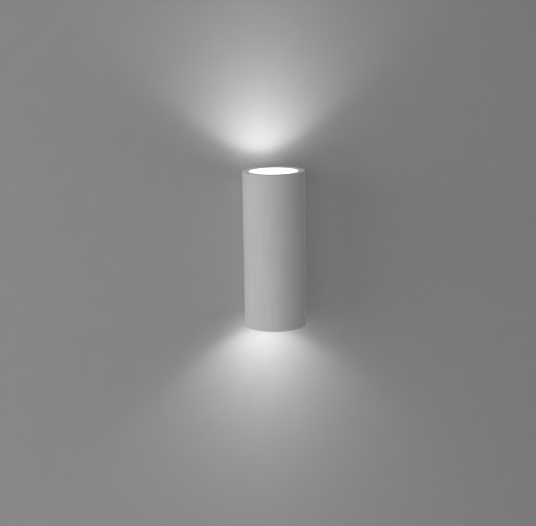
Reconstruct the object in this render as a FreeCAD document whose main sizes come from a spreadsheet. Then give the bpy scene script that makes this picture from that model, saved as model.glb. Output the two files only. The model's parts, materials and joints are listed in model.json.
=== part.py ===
"""Up-and-down tube wall light, in millimetres.

A cast plaster tube with a flat back hangs on two hooks of a steel wall plate. Inside it a
steel spine carries two shelves, each with a ceramic twist-lock lampholder and a reflector
lamp. A satin glass disc closes each end.

Frame: the wall is the plane y = 0, the room is at -Y, +Z is up, and the origin lies midway
between the two wall screws.
"""
import FreeCAD, Part
import math
import os
import re

import Sketcher

SIZES = (
    # the cast tube
    ("tube_d", 100, "outside diameter of the tube"),
    ("tube_len", 253, "length of the tube"),
    ("flat_cut", 4, "depth of the flat along the tube's back"),
    ("tube_wall", 13, "wall of the tube"),
    ("edge_round", 0.8, "rounding of the outer edges at both ends"),
    # the discs that close the ends
    ("rim_wide", 10, "rim of the tube around the glass"),
    ("glass_thick", 4, "thickness of the glass"),
    ("glass_play", 0.3, "gap all round the glass"),
    ("glass_sink", 0.7, "top glass below the rim"),
    ("glass_edge", 0.5, "bevel of the glass edge"),
    ("seal_thick", 0.8, "thickness of the ring seal under the glass"),
    ("seal_wide", 2.4, "width of the ring seal"),
    ("ring_wire", 1.6, "wire of the spring ring under the bottom glass"),
    ("ring_sink", 0.4, "spring ring above the bottom rim"),
    # the wall plate and its hooks
    ("sheet", 1.5, "thickness of the steel parts"),
    ("plate_wide", 30, "width of the wall plate"),
    ("plate_tall", 104, "height of the wall plate"),
    ("plate_round", 4, "corner radius of the wall plate"),
    ("screw_pitch", 80, "distance between the wall screws"),
    ("screw_hole", 5, "wall screw hole"),
    ("hook_pitch", 48, "distance between the hooks"),
    ("hook_wide", 10, "width of a hook"),
    ("hook_rise", 7, "height of a hook's lip"),
    ("hook_play", 0.3, "gap between a hook's lip and the spine"),
    ("slot_play", 1, "gap round a hook in its slot"),
    ("cable_d", 9, "bore for the supply cable"),
    ("grommet_wall", 2.5, "wall of the cable grommet"),
    ("grommet_lip", 2, "overhang and thickness of the grommet's lip"),
    # the spine inside the tube
    ("lift", 8, "how far the tube is lifted off its hooks"),
    ("window_play", 2, "gap between the wall plate and the window in the tube's back"),
    ("spine_gap", 11.5, "wall to the back of the spine"),
    ("spine_wide", 24, "width of the spine"),
    ("spine_end", 10, "spine beyond its screw"),
    ("pad_wide", 27, "width of a cast pad behind the spine"),
    ("pad_tall", 20, "height of a cast pad"),
    ("carrier_bolt", 4, "screw that holds the spine"),
    ("bolt_inset", 11, "screw beyond the end of the window"),
    ("bolt_sink", 1, "screw head below the flat back"),
    ("bolt_play", 0.4, "gap round the screw in the plaster"),
    ("nut_d", 8, "clinch nut"),
    ("nut_thick", 3, "thickness of the clinch nut"),
    # the reflector lamps
    ("lamp_d", 50, "face of the lamp"),
    ("lamp_len", 52, "lamp from its base to its face"),
    ("lamp_recess", 23.5, "lamp face below the end of the tube"),
    ("lamp_neck", 31, "neck of the lamp"),
    ("lamp_rim", 4, "straight rim of the lamp"),
    ("lamp_wall", 1.5, "wall of the lamp body"),
    ("lens_sink", 1.2, "lens below the lamp's rim"),
    ("lens_thick", 2, "thickness of the lens"),
    ("base_long", 29, "lamp base, long side"),
    ("base_wide", 16, "lamp base, short side"),
    ("base_tall", 17, "height of the lamp base"),
    ("pin_pitch", 10, "distance between the lamp pins"),
    ("pin_neck", 3.3, "neck of a lamp pin"),
    ("pin_head", 5, "head of a lamp pin"),
    ("pin_reach", 7, "length of a lamp pin"),
    ("pin_head_tall", 2.8, "height of a pin's head"),
    # the lampholders and their shelves
    ("holder_long", 38, "lampholder, long side"),
    ("holder_wide", 20, "lampholder, short side"),
    ("holder_tall", 20, "height of the lampholder"),
    ("key_play", 0.35, "gap round a pin in its keyhole"),
    ("key_turn", 40, "turn of the twist lock in degrees"),
    ("key_roof", 4, "ceramic over a pin's head"),
    ("key_deep", 10, "depth of the keyhole pocket"),
    ("contact_thick", 0.6, "contact strip"),
    ("holder_bolt", 3, "screw of the lampholder"),
    ("holder_bolt_gap", 26, "distance between the lampholder screws"),
    ("small_play", 0.1, "gap round a small screw in metal or ceramic"),
    ("shelf_wide", 38, "width of a shelf"),
    ("shelf_neck", 6, "narrow part of a shelf, next to the spine"),
    ("shelf_reach", 26, "tube axis to the front edge of a shelf"),
    ("foot_tall", 15, "foot of a shelf on the spine"),
    ("rivet_d", 3.2, "rivet"),
    ("rivet_gap", 18.4, "distance between the two rivets of a shelf"),
    ("lead_hole", 14, "long side of the lead hole in a shelf"),
    # wiring
    ("lead_d", 2.4, "sleeved lead"),
    ("lead_gap", 8, "distance between the two leads at a lampholder"),
    ("pole_gap", 9.5, "distance between the poles of the terminal block"),
    ("pole_hole", 3.6, "wire hole of a pole"),
    ("block_deep", 15, "terminal block, front to back"),
    ("block_tall", 14, "height of the terminal block"),
    ("block_gap", 6, "tube axis to the back of the terminal block"),
    ("pole_screw", 4, "terminal screw"),
    ("clamp_back", 19, "wall to the back of the cord grip"),
    ("clamp_deep", 9, "cord grip, front to back"),
    ("clamp_wide", 28, "width of the cord grip"),
    ("clamp_tall", 9, "height of the cord grip"),
    ("clamp_cable", 8, "supply cable in the cord grip"),
    ("clamp_bolt_gap", 20, "distance between the cord grip screws"),
    ("earth_gap", 18, "tube axis to the earth screw"),
    ("tag_thick", 0.8, "ring tag of the earth lead"),
)

ALIASES = {alias for alias, size, meaning in SIZES}
WORD = re.compile(r"[a-z][a-z_]*")

doc = FreeCAD.newDocument("tube_wall_light")
sheet = doc.addObject("Spreadsheet::Sheet", "Sizes")
for line, (alias, size, meaning) in enumerate(SIZES, start=1):
    sheet.set("A%d" % line, alias)
    sheet.set("B%d" % line, str(size))
    sheet.set("C%d" % line, meaning)
    sheet.setAlias("B%d" % line, alias)
doc.recompute()

# Places that follow from the sizes, as text that the objects are bound to.
END = "tube_len/2"
AXIS = "(flat_cut - tube_d/2)"
BORE_R = "(tube_d/2 - tube_wall)"
RIM_R = "(tube_d/2 - rim_wide)"
GLASS_R = "(%s - glass_play)" % RIM_R
SHELF_FRONT = "(%s - shelf_reach)" % AXIS
BLOCK_BACK = "(%s - block_gap)" % AXIS
BLOCK_FRONT = "(%s - block_deep)" % BLOCK_BACK
EARTH_Y = "(%s - earth_gap)" % AXIS
WINDOW_TOP = "(plate_tall/2 + slot_play)"
WINDOW_LOW = "(-plate_tall/2 - lift - slot_play)"
BOLT_TOP = "(%s + bolt_inset)" % WINDOW_TOP
BOLT_LOW = "(%s - bolt_inset)" % WINDOW_LOW
SPINE_FRONT = "(spine_gap + sheet)"
LAMP_BASE = "(tube_len/2 - lamp_recess - lamp_len)"
SHELF_TOP = "(%s - holder_tall)" % LAMP_BASE
SHELF_LOW = "(%s - sheet)" % SHELF_TOP
FLOOR = "(-%s)" % SHELF_LOW
POLE_Z = "(%s + block_tall/2)" % FLOOR


# ---------------------------------------------------------------- helpers
def linked(text):
    """Expression text whose size names point at the sheet."""
    return WORD.sub(lambda m: "Sizes." + m.group() if m.group() in ALIASES else m.group(), text)


def value(text):
    """The number that an expression has now."""
    return float(sheet.evalExpression(linked(text)))


def bind(thing, **sizes):
    for name, text in sizes.items():
        thing.setExpression(name, linked(text))
    return thing


def place(thing, x="", y="", z="", turn=None):
    """Put a thing at x, y, z, turned by (axis, degrees)."""
    if turn:
        axis, degrees = turn
        turned_by = FreeCAD.Rotation(FreeCAD.Vector(*axis), degrees)
        thing.Placement = FreeCAD.Placement(thing.Placement.Base, turned_by)
    for name, text in (("x", x), ("y", y), ("z", z)):
        if text:
            thing.setExpression("Placement.Base." + name, linked(text))
    return thing


def block(name, x, y, z, dx, dy, dz):
    """Box from its lowest corner and its three sides."""
    made = doc.addObject("Part::Box", name)
    bind(made, Length=dx, Width=dy, Height=dz)
    return place(made, x, y, z)


ALONG = {"+z": None, "-z": ((1, 0, 0), 180), "+y": ((1, 0, 0), -90), "-y": ((1, 0, 0), 90)}


def rod(name, x, y, z, radius, length, along="+z"):
    """Round bar that starts at x, y, z and runs along one direction."""
    made = doc.addObject("Part::Cylinder", name)
    bind(made, Radius=radius, Height=length)
    return place(made, x, y, z, ALONG[along])


def fuse(name, shapes):
    made = doc.addObject("Part::MultiFuse", name)
    made.Shapes = shapes
    return made


def cut(name, base, tools):
    made = doc.addObject("Part::Cut", name)
    made.Base = base
    made.Tool = tools[0] if len(tools) == 1 else fuse(name + "_tools", tools)
    return made


def group(name, shapes):
    """Separate solids that share one node."""
    made = doc.addObject("Part::Compound", name)
    made.Links = shapes
    return made


def body(name):
    return doc.addObject("PartDesign::Body", name)


def sketch(owner, role, name, height=""):
    """Empty sketch on one of a body's own planes, raised along the plane's normal."""
    made = owner.newObject("Sketcher::SketchObject", name)
    planes = [plane for plane in owner.Origin.OriginFeatures if plane.Role == role]
    made.AttachmentSupport = [(planes[0], "")]
    made.MapMode = "FlatFace"
    if height:
        made.setExpression("AttachmentOffset.Base.z", linked(height))
    return made


def pin_point(drawn, line, point, x, y):
    """Hold one point of a sketch at x, y from the sketch's origin."""
    for kind, text in (("DistanceX", x), ("DistanceY", y)):
        held = drawn.addConstraint(Sketcher.Constraint(kind, -1, 1, line, point, value(text)))
        drawn.setExpression("Constraints[%d]" % held, linked(text))


def outline(drawn, points, bends=None):
    """Closed outline through points, straight but for the arcs in bends.

    bends maps the number of a point to (radius, side) of the arc that leaves it. side is 1
    when the arc's centre lies left of the way to the next point, and -1 when it lies right.
    """
    bends = bends or {}
    first = drawn.GeometryCount
    spots = [FreeCAD.Vector(value(x), value(y), 0) for x, y in points]
    ends = []
    for number, start in enumerate(spots):
        finish = spots[(number + 1) % len(spots)]
        if number not in bends:
            drawn.addGeometry(Part.LineSegment(start, finish), False)
            ends.append((1, 2))
            continue
        radius, side = bends[number]
        ends.append(add_arc(drawn, start, finish, value(radius), side))
        held = drawn.addConstraint(Sketcher.Constraint("Radius", first + number, value(radius)))
        drawn.setExpression("Constraints[%d]" % held, linked(radius))
    for number, (x, y) in enumerate(points):
        line = first + number
        after = first + (number + 1) % len(points)
        pin_point(drawn, line, ends[number][0], x, y)
        follower = ends[(number + 1) % len(points)][0]
        drawn.addConstraint(Sketcher.Constraint("Coincident", line, ends[number][1], after, follower))


def add_arc(drawn, start, finish, radius, side):
    """Arc from start to finish; gives which of its ends is the start and which the finish."""
    chord = finish - start
    middle = (start + finish) * 0.5
    left = FreeCAD.Vector(-chord.y, chord.x, 0).normalize()
    rise = math.sqrt(max(radius ** 2 - (chord.Length / 2) ** 2, 0))
    centre = middle + left * (side * rise)
    bulge = middle - left * (side * (radius - rise))
    arc = Part.Arc(start, bulge, finish)
    drawn.addGeometry(arc, False)
    made = drawn.Geometry[drawn.GeometryCount - 1]
    if made.StartPoint.distanceToPoint(start) < made.StartPoint.distanceToPoint(finish):
        return 1, 2
    return 2, 1


def ring(drawn, x, y, radius):
    """Circle in a sketch."""
    centre = FreeCAD.Vector(value(x), value(y), 0)
    line = drawn.addGeometry(Part.Circle(centre, FreeCAD.Vector(0, 0, 1), value(radius)), False)
    pin_point(drawn, line, 3, x, y)
    held = drawn.addConstraint(Sketcher.Constraint("Radius", line, value(radius)))
    drawn.setExpression("Constraints[%d]" % held, linked(radius))


def rectangle(drawn, left, low, right, high):
    outline(drawn, ((left, low), (right, low), (right, high), (left, high)))


def feature(owner, kind, name, drawn, length, **more):
    """Pad or pocket of one sketch; a pocket has to take something away."""
    doc.recompute()
    before = owner.Shape.Volume if owner.Tip else 0
    made = owner.newObject("PartDesign::" + kind, name)
    made.Profile = drawn
    made.setExpression("Length", linked(length))
    for key, setting in more.items():
        setattr(made, key, setting)
    doc.recompute()
    change = owner.Shape.Volume - before
    if (change < 0) != (kind == "Pocket") or abs(change) < 0.01:
        raise ValueError("%s changed the volume by %.3f" % (name, change))
    return made


def turned(name, points, bends=None, angle=360):
    """Body turned about its own Z axis from an outline of (radius, height) points."""
    owner = body(name)
    drawn = sketch(owner, "XZ_Plane", name + "_outline")
    outline(drawn, points, bends)
    made = owner.newObject("PartDesign::Revolution", name + "_turn")
    made.Profile = drawn
    made.ReferenceAxis = (drawn, ["V_Axis"])
    made.Angle = angle
    return owner


def soften(owner, name, kind, size, wanted):
    """Fillet or chamfer on the edges of the body's tip that wanted() picks."""
    doc.recompute()
    tip = owner.Tip
    edges = ["Edge%d" % (n + 1) for n, edge in enumerate(tip.Shape.Edges) if wanted(edge)]
    made = owner.newObject("PartDesign::" + kind, name)
    made.Base = (tip, edges)
    made.setExpression("Radius" if kind == "Fillet" else "Size", linked(size))
    return made


def screw(name, x, y, z, along, radius, length, head_r, head_tall):
    """Pan-head screw whose head sits on x, y, z and whose shank runs along one direction."""
    back = {"+z": "-z", "-z": "+z", "+y": "-y", "-y": "+y"}[along]
    head = rod(name + "_head", x, y, z, head_r, head_tall, back)
    shank = rod(name + "_shank", x, y, z, radius, length, along)
    return fuse(name, [head, shank])


def flipped(thing, end):
    """The bottom end's pieces are the top end's, turned half round about the Y axis."""
    if end == "bottom":
        turn = FreeCAD.Rotation(FreeCAD.Vector(0, 1, 0), 180)
        thing.Placement = FreeCAD.Placement(FreeCAD.Vector(), turn)
    return thing


def lead(name, points, radius_text, bend_text):
    """Round lead along straight runs that tangent arcs join, from points as expressions."""
    spots = [FreeCAD.Vector(*[value(text) for text in spot]) for spot in points]
    radius = value(radius_text)
    edges = []
    start = spots[0]
    for before, corner, after in zip(spots, spots[1:], spots[2:]):
        into = (corner - before).normalize()
        out = (after - corner).normalize()
        half = math.tan(into.getAngle(out) / 2)
        room = 0.45 * min(before.distanceToPoint(corner), after.distanceToPoint(corner))
        reach = min(value(bend_text) * half, room)
        enter = corner - into * reach
        leave = corner + out * reach
        towards = (out - into).normalize()
        bend = reach / half
        depth = math.sqrt(bend ** 2 + reach ** 2) - bend
        edges.append(Part.LineSegment(start, enter).toShape())
        edges.append(Part.Arc(enter, corner + towards * depth, leave).toShape())
        start = leave
    edges.append(Part.LineSegment(start, spots[-1]).toShape())
    path = Part.Wire(edges)
    way = (spots[1] - spots[0]).normalize()
    section = Part.Wire([Part.Circle(spots[0], way, radius).toShape()])
    made = doc.addObject("Part::Feature", name)
    made.Shape = path.makePipeShell([section], True, False)
    expected = math.pi * radius ** 2 * path.Length
    print("%s: %.1f mm long, volume %.4f of its section times its length"
          % (name, path.Length, made.Shape.Volume / expected))
    return made


# ---------------------------------------------------------------- the cast tube
def make_tube():
    """D-shaped plaster casting: bore, a seat at each end for the glass, a window in the flat
    back for the wall plate, and two pads that the spine is screwed to."""
    tube = body("tube_body")
    flat = "sqrt((tube_d/2)^2 - %s^2)" % AXIS
    drawn = sketch(tube, "XY_Plane", "tube_section", "-tube_len/2")
    arc = ("tube_d/2", 1)
    outline(drawn, ((flat, "-" + AXIS), ("-" + flat, "-" + AXIS), ("-tube_d/2", "0"),
                    ("0", "-tube_d/2"), ("tube_d/2", "0")), {1: arc, 2: arc, 3: arc, 4: arc})
    feature(tube, "Pad", "tube_pad", drawn, "tube_len")
    drawn = sketch(tube, "XY_Plane", "bore_circle", "tube_len/2")
    ring(drawn, "0", "0", BORE_R)
    feature(tube, "Pocket", "tube_bore", drawn, "tube_len")
    top_deep = "glass_sink + glass_thick + seal_thick"
    low_deep = "ring_sink + ring_wire + glass_thick + seal_thick"
    drawn = sketch(tube, "XY_Plane", "top_seat_circle", "tube_len/2")
    ring(drawn, "0", "0", RIM_R)
    feature(tube, "Pocket", "top_seat", drawn, top_deep)
    drawn = sketch(tube, "XY_Plane", "bottom_seat_circle", "-tube_len/2")
    ring(drawn, "0", "0", RIM_R)
    feature(tube, "Pocket", "bottom_seat", drawn, low_deep, Reversed=True)
    make_pads(tube)
    drawn = sketch(tube, "XZ_Plane", "window_outline", AXIS)
    side = "(plate_wide/2 + window_play)"
    rectangle(drawn, "-" + side, WINDOW_LOW, side, WINDOW_TOP)
    feature(tube, "Pocket", "back_window", drawn, "tube_d/4", Reversed=True)
    for name, height in (("upper", BOLT_TOP), ("lower", BOLT_LOW)):
        drawn = sketch(tube, "XZ_Plane", name + "_bolt_circle", AXIS)
        ring(drawn, "0", height, "carrier_bolt/2 + bolt_play")
        feature(tube, "Pocket", name + "_bolt_hole", drawn, "tube_d/4", Reversed=True)
        drawn = sketch(tube, "XZ_Plane", name + "_head_circle", AXIS)
        ring(drawn, "0", height, "carrier_bolt + bolt_play")
        sink = "bolt_sink + carrier_bolt*0.6"
        feature(tube, "Pocket", name + "_head_hole", drawn, sink, Reversed=True)
    half = value("tube_len/2")
    outer = value("tube_d/2")

    def at_rim(edge):
        box = edge.BoundBox
        level = abs(abs(box.ZMax) - half) < 0.01 and box.ZLength < 0.01
        return level and isinstance(edge.Curve, Part.Circle) and edge.Curve.Radius > outer - 0.01

    soften(tube, "rim_round", "Fillet", "edge_round", at_rim)
    return place(tube, y=AXIS)


def make_pads(tube):
    """Two flat pads stand out of the bore where the spine is screwed on."""
    for name, height in (("upper", BOLT_TOP), ("lower", BOLT_LOW)):
        drawn = sketch(tube, "XZ_Plane", name + "_pad_outline", "spine_gap + " + AXIS)
        low = "%s - pad_tall/2" % height
        high = "%s + pad_tall/2" % height
        rectangle(drawn, "-pad_wide/2", low, "pad_wide/2", high)
        reach = "spine_gap/2"
        feature(tube, "Pad", name + "_pad", drawn, reach, Reversed=True)


# ---------------------------------------------------------------- glass at both ends
def make_glass():
    bevelled = (("0", "0"), (GLASS_R + " - glass_edge", "0"), (GLASS_R, "glass_edge"),
                (GLASS_R, "glass_thick - glass_edge"), (GLASS_R + " - glass_edge", "glass_thick"),
                ("0", "glass_thick"))
    outer = "(%s - glass_play)" % GLASS_R
    inner = "(%s - seal_wide)" % outer
    sealed = ((inner, "0"), (outer, "0"), (outer, "seal_thick"), (inner, "seal_thick"))
    made = []
    made.append(place(turned("glass_top", bevelled), y=AXIS,
                      z=END + " - glass_sink - glass_thick"))
    made.append(place(turned("glass_seal_top", sealed), y=AXIS,
                      z=END + " - glass_sink - glass_thick - seal_thick"))
    low = "-tube_len/2 + ring_sink + ring_wire"
    made.append(place(turned("glass_bottom", bevelled), y=AXIS, z=low))
    made.append(place(turned("glass_seal_bottom", sealed), y=AXIS, z=low + " + glass_thick"))
    spring = doc.addObject("Part::Torus", "retaining_ring")
    bind(spring, Radius1=GLASS_R + " - ring_wire/2", Radius2="ring_wire/2")
    spring.Angle3 = 330
    place(spring, y=AXIS, z="-tube_len/2 + ring_sink + ring_wire/2")
    made.append(spring)
    return made


# ---------------------------------------------------------------- on the wall
def make_wall_plate():
    """Steel plate with two screw holes, a cable hole and two hooks bent out of it."""
    plate = body("wall_plate")
    drawn = sketch(plate, "XZ_Plane", "plate_outline")
    rectangle(drawn, "-plate_wide/2", "-plate_tall/2", "plate_wide/2", "plate_tall/2")
    feature(plate, "Pad", "plate_pad", drawn, "sheet")
    drawn = sketch(plate, "XZ_Plane", "plate_holes", "sheet")
    ring(drawn, "0", "screw_pitch/2", "screw_hole/2")
    ring(drawn, "0", "-screw_pitch/2", "screw_hole/2")
    ring(drawn, "0", "0", "cable_d/2 + grommet_wall + small_play/2")
    feature(plate, "Pocket", "plate_drill", drawn, "sheet")
    lip_back = "(-%s - hook_play)" % SPINE_FRONT
    for name, height in (("upper", "hook_pitch/2"), ("lower", "-hook_pitch/2")):
        drawn = sketch(plate, "YZ_Plane", name + "_hook_side", "-hook_wide/2")
        top = height + " + hook_rise"
        out = lip_back + " - sheet"
        outline(drawn, (("-sheet", height), (lip_back, height), (lip_back, top), (out, top),
                        (out, height + " - sheet"), ("-sheet", height + " - sheet")))
        feature(plate, "Pad", name + "_hook", drawn, "hook_wide")
    soften(plate, "plate_corners", "Fillet", "plate_round", plate_corner)
    return plate


def plate_corner(edge):
    box = edge.BoundBox
    half_wide = value("plate_wide/2")
    half_tall = value("plate_tall/2")
    across = box.YLength > value("sheet") - 0.01 and box.XLength < 0.01 and box.ZLength < 0.01
    corner = abs(abs(box.XMax) - half_wide) < 0.01 and abs(abs(box.ZMax) - half_tall) < 0.01
    return across and corner


def make_grommet():
    """Bush with a lip, pushed into the plate from the room side."""
    bore = "cable_d/2"
    neck = "(cable_d/2 + grommet_wall)"
    lip = "(%s + grommet_lip)" % neck
    bush = turned("cable_grommet", ((bore, "0"), (neck, "0"), (neck, "sheet"), (lip, "sheet"),
                                    (lip, "sheet + grommet_lip"), (bore, "sheet + grommet_lip")))
    return place(bush, turn=((1, 0, 0), 90))


# ---------------------------------------------------------------- the spine
def make_carrier():
    """Flat steel spine: slots for the hooks, a window for the cable, two screw holes."""
    spine = body("carrier")
    drawn = sketch(spine, "XZ_Plane", "spine_outline")
    rectangle(drawn, "-spine_wide/2", BOLT_LOW + " - spine_end",
              "spine_wide/2", BOLT_TOP + " + spine_end")
    feature(spine, "Pad", "spine_pad", drawn, "sheet")
    drawn = sketch(spine, "XZ_Plane", "spine_openings", "sheet")
    slot = "(hook_wide/2 + slot_play)"
    for height in ("hook_pitch/2", "-hook_pitch/2"):
        low = "%s - sheet - lift - slot_play" % height
        rectangle(drawn, "-" + slot, low, slot, height)
    ring(drawn, "0", "0", "cable_d/2 + slot_play*2")
    ring(drawn, "0", BOLT_TOP, "carrier_bolt/2 + small_play")
    ring(drawn, "0", BOLT_LOW, "carrier_bolt/2 + small_play")
    for x in ("rivet_gap/2", "-rivet_gap/2"):
        for side in ("", "-"):
            ring(drawn, x, side + "(%s + foot_tall/2)" % SHELF_TOP, "rivet_d/2")
    feature(spine, "Pocket", "spine_punch", drawn, "sheet")
    return place(spine, y="-spine_gap")


def make_carrier_fixings():
    bolts = []
    nuts = []
    for name, height in (("upper", BOLT_TOP), ("lower", BOLT_LOW)):
        seat = "-bolt_sink - carrier_bolt*0.6"
        reach = "%s + nut_thick + carrier_bolt/4 - bolt_sink - carrier_bolt*0.6" % SPINE_FRONT
        bolts.append(screw(name + "_carrier_screw", "0", seat, height, "-y",
                           "carrier_bolt/2", reach, "carrier_bolt", "carrier_bolt*0.6"))
        front = "-" + SPINE_FRONT
        ring_nut = rod(name + "_nut_round", "0", front, height, "nut_d/2", "nut_thick", "-y")
        hole = rod(name + "_nut_hole", "0", front, height,
                   "carrier_bolt/2 + small_play/2", "nut_thick", "-y")
        nuts.append(cut(name + "_clinch_nut", ring_nut, [hole]))
    return [group("carrier_screws", bolts), group("clinch_nuts", nuts)]


# ---------------------------------------------------------------- shelves and lampholders
def make_bracket(end):
    """Folded shelf: it carries the lampholder, and its two feet are riveted to the spine,
    one each side of the hooks."""
    shelf = body("holder_bracket_" + end)
    drawn = sketch(shelf, "XY_Plane", end + "_shelf_outline", SHELF_LOW)
    slot = "(hook_wide/2 + slot_play)"
    back = "(-%s)" % SPINE_FRONT
    notch = "(-%s - hook_play - sheet - slot_play)" % SPINE_FRONT
    side = "shelf_wide/2"
    neck = "spine_wide/2"
    neck_end = "(%s - shelf_neck)" % back
    wide_end = "(%s - shelf_neck*1.5)" % back
    outline(drawn, (("-" + side, SHELF_FRONT), (side, SHELF_FRONT), (side, wide_end),
                    (neck, neck_end), (neck, back), (slot, back), (slot, notch),
                    ("-" + slot, notch), ("-" + slot, back), ("-" + neck, back),
                    ("-" + neck, neck_end), ("-" + side, wide_end)))
    feature(shelf, "Pad", end + "_shelf", drawn, "sheet")
    for name, left, right in (("left", "-spine_wide/2", "-" + slot),
                              ("right", slot, "spine_wide/2")):
        drawn = sketch(shelf, "XZ_Plane", end + name + "_foot_outline", SPINE_FRONT)
        rectangle(drawn, left, SHELF_TOP, right, SHELF_TOP + " + foot_tall")
        feature(shelf, "Pad", end + name + "_foot", drawn, "sheet")
    drawn = sketch(shelf, "XZ_Plane", end + "_rivet_circles", SPINE_FRONT + " + sheet")
    for x in ("rivet_gap/2", "-rivet_gap/2"):
        ring(drawn, x, SHELF_TOP + " + foot_tall/2", "rivet_d/2")
    feature(shelf, "Pocket", end + "_rivet_holes", drawn, "sheet")
    drawn = sketch(shelf, "XY_Plane", end + "_shelf_holes", SHELF_TOP)
    for x in ("holder_bolt_gap/2", "-holder_bolt_gap/2"):
        ring(drawn, x, AXIS, "holder_bolt/2 + small_play")
    wide = "lead_hole/2"
    deep = "lead_d*1.25"
    rectangle(drawn, "-" + wide, AXIS + " - " + deep, wide, AXIS + " + " + deep)
    if end == "top":
        ring(drawn, "0", EARTH_Y, "holder_bolt/2 + small_play")
    else:
        for x in ("clamp_bolt_gap/2", "-clamp_bolt_gap/2"):
            ring(drawn, x, "-clamp_back - clamp_deep/2", "holder_bolt/2 + small_play")
    feature(shelf, "Pocket", end + "_shelf_drill", drawn, "sheet")
    return flipped(shelf, end)


def make_rivets():
    rivets = []
    for side in ("", "-"):
        for x in ("rivet_gap/2", "-rivet_gap/2"):
            name = "rivet_%d" % (len(rivets) + 1)
            height = side + "(%s + foot_tall/2)" % SHELF_TOP
            face = "-%s - sheet" % SPINE_FRONT
            rivets.append(screw(name, x, face, height, "+y", "rivet_d/2 - small_play/2",
                                "sheet*2", "rivet_d*0.85", "rivet_d*0.35"))
    return group("bracket_rivets", rivets)


def slot_outline(drawn, width):
    """Curved slot with round ends, about the pins' circle, over the turn of the lock."""
    track = "pin_pitch/2"
    outer = "(%s + %s/2)" % (track, width)
    inner = "(%s - %s/2)" % (track, width)
    over = "%s/2" % width
    far_x = "%s*cos(key_turn)"
    far_y = "%s*sin(key_turn)"
    tip_x = "(%s*cos(key_turn) - %s*sin(key_turn))" % (track, over)
    tip_y = "(%s*sin(key_turn) + %s*cos(key_turn))" % (track, over)
    points = ((outer, "0"), (far_x % outer, far_y % outer), (tip_x, tip_y),
              (far_x % inner, far_y % inner), (inner, "0"), (track, "-" + over))
    cap = (over, 1)
    outline(drawn, points, {0: (outer, 1), 1: cap, 2: cap, 3: (inner, -1), 4: cap, 5: cap})


def make_lampholder(end):
    """Ceramic block with round ends. Each pin of the lamp goes in at a round entry and turns
    along a narrow curved slot, while its head runs in a wider pocket under the roof."""
    holder = body("lampholder_" + end)
    straight = "(holder_long/2 - holder_wide/2)"
    side = "holder_wide/2"
    drawn = sketch(holder, "XY_Plane", end + "_holder_outline", SHELF_TOP)
    cap = (side, 1)
    outline(drawn, (("-" + straight, "-" + side), (straight, "-" + side), ("holder_long/2", "0"),
                    (straight, side), ("-" + straight, side), ("-holder_long/2", "0")),
            {1: cap, 2: cap, 4: cap, 5: cap})
    feature(holder, "Pad", end + "_holder_block", drawn, "holder_tall")
    neck = sketch(holder, "XY_Plane", end + "_neck_slot", LAMP_BASE)
    slot_outline(neck, "(pin_neck + 2*key_play)")
    neck_cut = feature(holder, "Pocket", end + "_neck_run", neck, "key_roof")
    head = sketch(holder, "XY_Plane", end + "_head_slot", LAMP_BASE + " - key_roof")
    slot_outline(head, "(pin_head + 2*key_play)")
    head_cut = feature(holder, "Pocket", end + "_head_run", head, "key_deep - key_roof")
    entry = sketch(holder, "XY_Plane", end + "_entry_circle", LAMP_BASE)
    ring(entry, "pin_pitch/2*cos(key_turn)", "pin_pitch/2*sin(key_turn)",
         "pin_head/2 + 2*key_play")
    entry_cut = feature(holder, "Pocket", end + "_entry", entry, "key_roof")
    pair = holder.newObject("PartDesign::PolarPattern", end + "_keyholes")
    pair.Originals = [neck_cut, head_cut, entry_cut]
    pair.Axis = (neck, ["N_Axis"])
    pair.Angle = 360
    pair.Occurrences = 2
    holder.Tip = pair
    threads = sketch(holder, "XY_Plane", end + "_thread_circles", SHELF_TOP)
    for x in ("holder_bolt_gap/2", "-holder_bolt_gap/2"):
        ring(threads, x, "0", "holder_bolt/2 + small_play")
    feature(holder, "Pocket", end + "_threads", threads, "holder_tall/2", Reversed=True)
    return place(flipped(holder, end), y=AXIS)


def make_contacts():
    """One strip under each pin's head, at the bottom of the keyhole pocket."""
    strips = []
    for end in ("top", "bottom"):
        for x in ("pin_pitch/2", "-pin_pitch/2"):
            side = "pin_neck"
            floor = "(%s - key_deep)" % LAMP_BASE
            low = floor if end == "top" else "-%s - contact_thick" % floor
            strips.append(block("contact_%d" % len(strips), "%s - %s/2" % (x, side),
                                "%s - %s/2" % (AXIS, side), low, side, side, "contact_thick"))
    return group("lampholder_contacts", strips)


def make_lampholder_screws():
    screws = []
    for side, along in (("", "+z"), ("-", "-z")):
        for x in ("holder_bolt_gap/2", "-holder_bolt_gap/2"):
            screws.append(screw("holder_screw_%d" % len(screws), x, AXIS,
                                side + SHELF_LOW, along, "holder_bolt/2",
                                "sheet + holder_tall*0.45", "holder_bolt", "holder_bolt*0.7"))
    return group("lampholder_screws", screws)


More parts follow.
